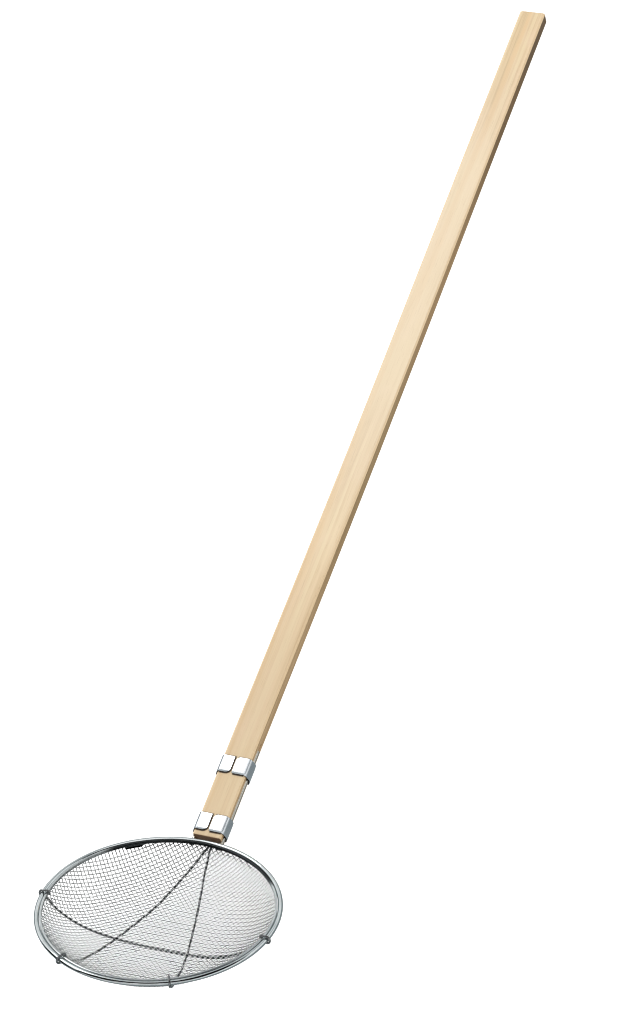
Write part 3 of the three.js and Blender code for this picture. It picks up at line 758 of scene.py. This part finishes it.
# ---------------------------------------------------------------------------
# Tangs in the side grooves, and the weld that joins each to the ring
# ---------------------------------------------------------------------------
for name, node, side in (("tang_left", "left_tang", 1), ("tang_right", "right_tang", -1)):
    xs = np.linspace(-8.2 + 0.7, 112 - 0.7, 40)
    path = bar(np.stack([xs, np.full(40, side * TANG_Y), np.full(40, -TANG_DOWN)], 1))
    v, f, u = tube(path, 2.4, 16, k=3, cut=0.29)
    piece(name, v, f, u, tang_steel, node, 45)

    # weld: a low rippled bead in the notch between tang and ring
    a = math.asin((side * TANG_Y + BAR_Y) / RING_R)
    on_ring = rim(np.array([(RING_R) * math.cos(a), RING_R * math.sin(a), -2.5]))
    rings, sides = 12, 18
    rows_w = []
    for i in range(1, rings):
        lat = math.pi * i / rings
        rows_w.append([])
        for j in range(sides):
            lon = 2 * math.pi * j / sides
            ripple = 1 + 0.05 * math.sin(7 * lat + 1.3 * side) + 0.04 * math.cos(3 * lon + side)
            rows_w[-1].append(
                (
                    2.9 * math.sin(lat) * math.cos(lon) * ripple,
                    3.1 * math.cos(lat) * ripple,
                    1.35 * math.sin(lat) * math.sin(lon) * ripple,
                )
            )
    w = np.array(rows_w).reshape(-1, 3)
    tips = np.array([(0, 3.1, 0), (0, -3.1, 0)])
    v = np.concatenate([w, tips]) + np.array([on_ring[0] - 0.2, side * TANG_Y + BAR_Y, BAR_Z - 6.0])
    f, _ = grid_faces(rings - 1, sides)
    for j in range(sides):
        j1 = (j + 1) % sides
        f.append((len(w), j1, j))
        f.append((len(w) + 1, (rings - 2) * sides + j, (rings - 2) * sides + j1))
    piece("weld_" + name.split("_")[1], v, f, None, weld_steel, None, 0)

# ---------------------------------------------------------------------------
# Bands: sheet strips round the back, bulged over the tangs, two tabs in front
# ---------------------------------------------------------------------------
SHEET, BAND_W, LIFT = 1.0, 20.0, 0.3
FRONT, BACK = LIFT + SHEET / 2, -BAR_T - LIFT - SHEET / 2
BULGE, SIDE = TANG_Y + 2.4 + LIFT + SHEET / 2, BAR_W + LIFT + SHEET / 2


def band_half(side, slit):
    return [(slit, FRONT), (side * 13.75, FRONT), (side * 15.3, FRONT - 1.12), (side * (SIDE - 0.05), -1.75),
            (side * BULGE, -6.8), (side * BULGE, -10.4), (side * (SIDE + 0.15), -13.6),
            (side * (SIDE - 0.35), BACK + 0.75), (side * 13.7, BACK)]


def soften(line, r=0.55, n=4):
    out = [line[0]]
    for a, c, b in zip(line, line[1:], line[2:]):
        room = 0.45 * min(np.linalg.norm(np.subtract(a, c)), np.linalg.norm(np.subtract(b, c)))
        out += list(map(tuple, broken_corner(a, c, b, min(r, room), n)))
    return out + [line[-1]]


def tab_edge(x, low_r, high_r):
    """How far a tab's end is drawn back at x across the band, for rounded corners."""
    if x < low_r:
        return low_r - math.sqrt(max(low_r**2 - (low_r - x) ** 2, 0))
    if x > BAND_W - high_r:
        d = x - (BAND_W - high_r)
        return high_r - math.sqrt(max(high_r**2 - d * d, 0))
    return 0.0


BREAK = 0.16
x_rows = np.array(sorted({0.0, BREAK, 0.5, 1.2, 2.0, 3.0, 4.0, 5.0, 7.5, 10.0, 12.5, 15.0, 16.0, 17.0, 18.0, 18.8, 19.5,
                          BAND_W - BREAK, BAND_W}))
for name, node, first in (("band_lower", "lower_band", 6.0), ("band_upper", "upper_band", 76.0)):
    line = soften(band_half(1, 2.0) + band_half(-1, -0.3)[::-1])
    line = np.array(line)
    n_line = len(line)
    t = np.gradient(line, axis=0)
    t /= np.linalg.norm(t, axis=1)[:, None]
    out = np.stack([-t[:, 1], t[:, 0]], 1)  # to the left of the line's run
    if out[0][1] < 0:
        out = -out
    lead = 8  # points added along each tab
    cols = []
    for x in x_rows:
        start = np.array([2.0 + tab_edge(x, 5.0, 1.2), FRONT])
        stop = np.array([-0.3 - tab_edge(x, 1.2, 5.0), FRONT])
        head = [start + (line[1] - start) * s for s in np.linspace(0, 1, lead, endpoint=False) ** 1.3]
        tail = [stop + (line[-2] - stop) * s for s in np.linspace(0, 1, lead, endpoint=False) ** 1.3][::-1]
        curl = 0.55 * max(1 - x / 3.5, 0) ** 2  # lower edge of the tabs stands off the wood
        col = np.concatenate([np.array(head), line[1:-1], np.array(tail)])
        col[:, 1] += curl * smoothstep(col[:, 1], -0.9, 0.6)
        cols.append(col)
    cols = np.array(cols)  # x rows, points along, (y, z)
    side_out = np.concatenate([np.repeat(out[:1], lead, 0), out[1:-1], np.repeat(out[-1:], lead, 0)])
    n_al = cols.shape[1]
    grid = []
    for i in range(n_al):
        ring_pts = []
        for q, x in enumerate(x_rows):
            edge = min(x, BAND_W - x)
            h = SHEET / 2 * (1 if edge >= BREAK else 0.55)
            ring_pts.append((x, *(cols[q, i] + side_out[i] * h)))
        for q in range(len(x_rows) - 1, -1, -1):
            x = x_rows[q]
            edge = min(x, BAND_W - x)
            h = SHEET / 2 * (1 if edge >= BREAK else 0.55)
            ring_pts.append((x, *(cols[q, i] - side_out[i] * h)))
        grid.append(ring_pts)
    grid = np.array(grid)
    m_al = grid.shape[1]
    f, u = grid_faces(n_al, m_al, k=4)
    half = len(x_rows)
    # the cut edges and the inside of the sheet take the near-black edge material: painted shade
    cut = [int(j % m_al in (m_al - 1, half - 1) or half <= j % m_al) for j in range(len(f))]
    for i, flip in ((0, False), (n_al - 1, True)):
        for q in range(half - 1):
            quad = [i * m_al + q, i * m_al + q + 1, i * m_al + m_al - 2 - q, i * m_al + m_al - 1 - q]
            f.append(tuple(reversed(quad)) if not flip else tuple(quad))
            u += [u[0]] * 4
            cut.append(1)
    grid[:, :, 0] += first
    piece(name, bar(grid.reshape(-1, 3)), f, u, band_steel, node, 38, edge_steel, cut)

# every piece's faces look outward
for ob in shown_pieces():
    if "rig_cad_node" in ob:
        continue
    import bmesh

    bm = bmesh.new()
    bm.from_mesh(ob.data)
    bmesh.ops.recalc_face_normals(bm, faces=bm.faces)
    bm.to_mesh(ob.data)
    bm.free()

# ---------------------------------------------------------------------------
# Stage, light and camera
# ---------------------------------------------------------------------------
scene = bpy.context.scene
scene.view_settings.view_transform = "Standard"
scene.view_settings.look = "None"
scene.cycles.filter_width = 1.1

floor_mat = Mat("pale_floor")
tone = floor_mat.noise(floor_mat.scaled((2, 2, 2)), 1.0, 2.0, 0.5)
floor_mat.set(Base_Color=floor_mat.ramp(tone, [(0.2, (0.50, 0.50, 0.50)), (0.8, (0.53, 0.53, 0.53))]))
floor_mat.set(Roughness=0.9)
floor_mat.bsdf.inputs["Specular IOR Level"].default_value = 0.0
floor_mat.bsdf.inputs["Emission Color"].default_value = (1, 1, 1, 1)
floor_mat.bsdf.inputs["Emission Strength"].default_value = 0.92
lift_light = floor_mat.node("ShaderNodeEmission")  # what the floor throws back on the object
lift_light.inputs["Color"].default_value = (0.52, 0.52, 0.51, 1)
mirror = floor_mat.node("ShaderNodeEmission")  # one even tone, what polished steel sees of it
mirror.inputs["Color"].default_value = (0.25, 0.285, 0.295, 1)
rays = floor_mat.node("ShaderNodeLightPath")
soft = floor_mat.node("ShaderNodeMixShader")
floor_mat.link(rays.outputs["Is Glossy Ray"], soft.inputs[0])
floor_mat.link(lift_light.outputs[0], soft.inputs[1])
floor_mat.link(mirror.outputs[0], soft.inputs[2])
seen = floor_mat.node("ShaderNodeMixShader")
floor_mat.link(rays.outputs["Is Camera Ray"], seen.inputs[0])
floor_mat.link(soft.outputs[0], seen.inputs[1])
floor_mat.link(floor_mat.bsdf.outputs[0], seen.inputs[2])
floor_mat.link(seen.outputs[0], floor_mat.nt.nodes["Material Output"].inputs["Surface"])
me = bpy.data.meshes.new("floor")
cells = np.linspace(-6, 6, 13)
gv = [(x, y, 0.0) for x in cells for y in cells]
gf = [(i * 13 + j, (i + 1) * 13 + j, (i + 1) * 13 + j + 1, i * 13 + j + 1) for i in range(12) for j in range(12)]
me.from_pydata(gv, [], gf)
me.materials.append(floor_mat.m)
floor = bpy.data.objects.new("floor", me)
scene.collection.objects.link(floor)

# two black flags, one over the front of the head and one beside it: only reflections in the steel see them
cloth = bpy.data.materials.new("flag_cloth")
cloth.use_nodes = True
cloth.node_tree.nodes["Principled BSDF"].inputs["Base Color"].default_value = (0.012, 0.013, 0.013, 1)
cloth.node_tree.nodes["Principled BSDF"].inputs["Specular IOR Level"].default_value = 0.0
over = [
    (-0.60, 0.66), (-0.30, 0.40), (-0.18, 0.27), (-0.05, 0.185), (0.045, 0.14), (0.06, -0.08), (0.30, -0.09),
    (0.30, -0.48), (-0.21, -0.48), (-0.21, -0.02), (-0.30, 0.09), (-0.46, 0.26), (-0.75, 0.55),
]
beside = [(-0.32, 0.07), (-0.06, 0.07), (-0.06, 0.20), (-0.10, 0.24), (-0.32, 0.24)]
for name, corners in (("flag_over", [(a, b, 0.35) for a, b in over]), ("flag_beside", [(a, 0.25, b) for a, b in beside])):
    me = bpy.data.meshes.new(name)
    me.from_pydata([(RIM_X * 0.001 + a, b, c) for a, b, c in corners], [], [tuple(range(len(corners)))])
    me.update()
    me.materials.append(cloth)
    flag = bpy.data.objects.new(name, me)
    scene.collection.objects.link(flag)
    flag.visible_camera = flag.visible_diffuse = flag.visible_shadow = False
    flag.visible_transmission = flag.visible_volume_scatter = False

world = bpy.data.worlds.new("studio")
scene.world = world
world.use_nodes = True
nt = world.node_tree
nt.nodes.clear()


def wnode(kind, **props):
    n = nt.nodes.new(kind)
    for k, v in props.items():
        setattr(n, k, v)
    return n


def wmath(op, a, b=0.0):
    n = wnode("ShaderNodeMath", operation=op)
    for k, v in enumerate((a, b)):
        if isinstance(v, (int, float)):
            n.inputs[k].default_value = v
        else:
            nt.links.new(v, n.inputs[k])
    return n.outputs[0]


def wstep(value, a, b, lo=0.0, hi=1.0):
    n = wnode("ShaderNodeMapRange", interpolation_type="SMOOTHSTEP")
    nt.links.new(value, n.inputs["Value"])
    for k, v in (("From Min", a), ("From Max", b), ("To Min", lo), ("To Max", hi)):
        n.inputs[k].default_value = v
    return n.outputs["Result"]


def wmix(fac, a, b, kind="MIX"):
    n = wnode("ShaderNodeMix", data_type="RGBA", blend_type=kind)
    nt.links.new(fac, n.inputs["Factor"])
    for k, v in ((6, a), (7, b)):
        if isinstance(v, tuple):
            n.inputs[k].default_value = (*v, 1)
        else:
            nt.links.new(v, n.inputs[k])
    return n.outputs[2]


# white panels all round under a bright soft ceiling, a gap between them, and a dark sheet behind
coord = wnode("ShaderNodeTexCoord")
split = wnode("ShaderNodeSeparateXYZ")
nt.links.new(coord.outputs["Generated"], split.inputs[0])
sx, sy, sz = split.outputs["X"], split.outputs["Y"], split.outputs["Z"]
panels = wmix(wstep(sx, -0.15, -0.75), (0.92, 0.94, 0.94), (0.72, 0.735, 0.735))
panels = wmix(wmath("MULTIPLY", wstep(sz, 0.49, 0.55), wstep(sy, 0.50, 0.42)), panels, (0.22, 0.24, 0.245))
dark = wmath("MULTIPLY", wstep(sy, 0.53, 0.45), wstep(sy, -0.27, -0.14))
dark = wmath("MULTIPLY", wmath("MULTIPLY", dark, wstep(sx, 0.0, 0.25)), wstep(sz, 0.20, 0.29))
walls = wmix(dark, panels, (0.40, 0.43, 0.435))
sky = wmix(wstep(sz, 0.66, 0.74), walls, (1.10, 1.10, 1.10))
bg = wnode("ShaderNodeBackground")
nt.links.new(sky, bg.inputs["Color"])
plain = wnode("ShaderNodeBackground")
plain.inputs["Color"].default_value = (0.93, 0.93, 0.93, 1)
path = wnode("ShaderNodeLightPath")
pick = wnode("ShaderNodeMixShader")
nt.links.new(path.outputs["Is Camera Ray"], pick.inputs[0])
nt.links.new(bg.outputs[0], pick.inputs[1])
nt.links.new(plain.outputs[0], pick.inputs[2])
wout = wnode("ShaderNodeOutputWorld")
nt.links.new(pick.outputs[0], wout.inputs["Surface"])

key = bpy.data.lights.new("softbox", "AREA")
key.shape = "RECTANGLE"
key.size, key.size_y = 2.0, 2.0
key.energy = 35
key_ob = bpy.data.objects.new("softbox", key)
scene.collection.objects.link(key_ob)
key_dir = Vector((0.30, 0.60, 0.74)).normalized()
key_ob.location = Vector((-0.1, 0, 0)) + key_dir * 4.0
key_ob.rotation_mode = "QUATERNION"
key_ob.rotation_quaternion = key_dir.to_track_quat("Z", "Y")

# camera: where the photograph was taken from, found in the rim's frame
LOOK = np.array(
    [
        [0.36649644718038155, -0.9297501155851988, -0.035285645430787826],
        [-0.4692634254140746, -0.15196443411653668, -0.8698842729537593],
        [0.8034128401841778, 0.33536775833844, -0.49199214922013],
    ]
)
STAND = -LOOK.T @ np.array([-156.7214060429644, 389.792721272292, 3417.7375946687653])
half = 0.5 / 3478.9633920228  # pixel middles lie half a pixel in
LOOK = np.array([LOOK[0] + half * LOOK[2], LOOK[1] + half * LOOK[2], LOOK[2] - half * LOOK[0] - half * LOOK[1]])
LOOK = np.linalg.qr(LOOK.T)[0].T * np.sign(np.diag(np.linalg.qr(LOOK.T)[1]))[:, None]
turn_rim = np.array([[CT, 0, ST], [0, 1, 0], [-ST, 0, CT]])
axes = turn_rim @ np.array([LOOK[0], -LOOK[1], -LOOK[2]]).T
cam = bpy.data.cameras.new("camera")
cam.sensor_width = 36
cam.lens = 3478.9633920228 * 36 / 1024
cam.clip_start, cam.clip_end = 0.05, 60
cam.dof.use_dof = False
cam_ob = bpy.data.objects.new("camera", cam)
scene.collection.objects.link(cam_ob)
pose = Matrix([[*axes[i], 0] for i in range(3)] + [[0, 0, 0, 1]])
pose.translation = Vector((rim(STAND) * 0.001).tolist())
cam_ob.matrix_world = pose
scene.camera = cam_ob
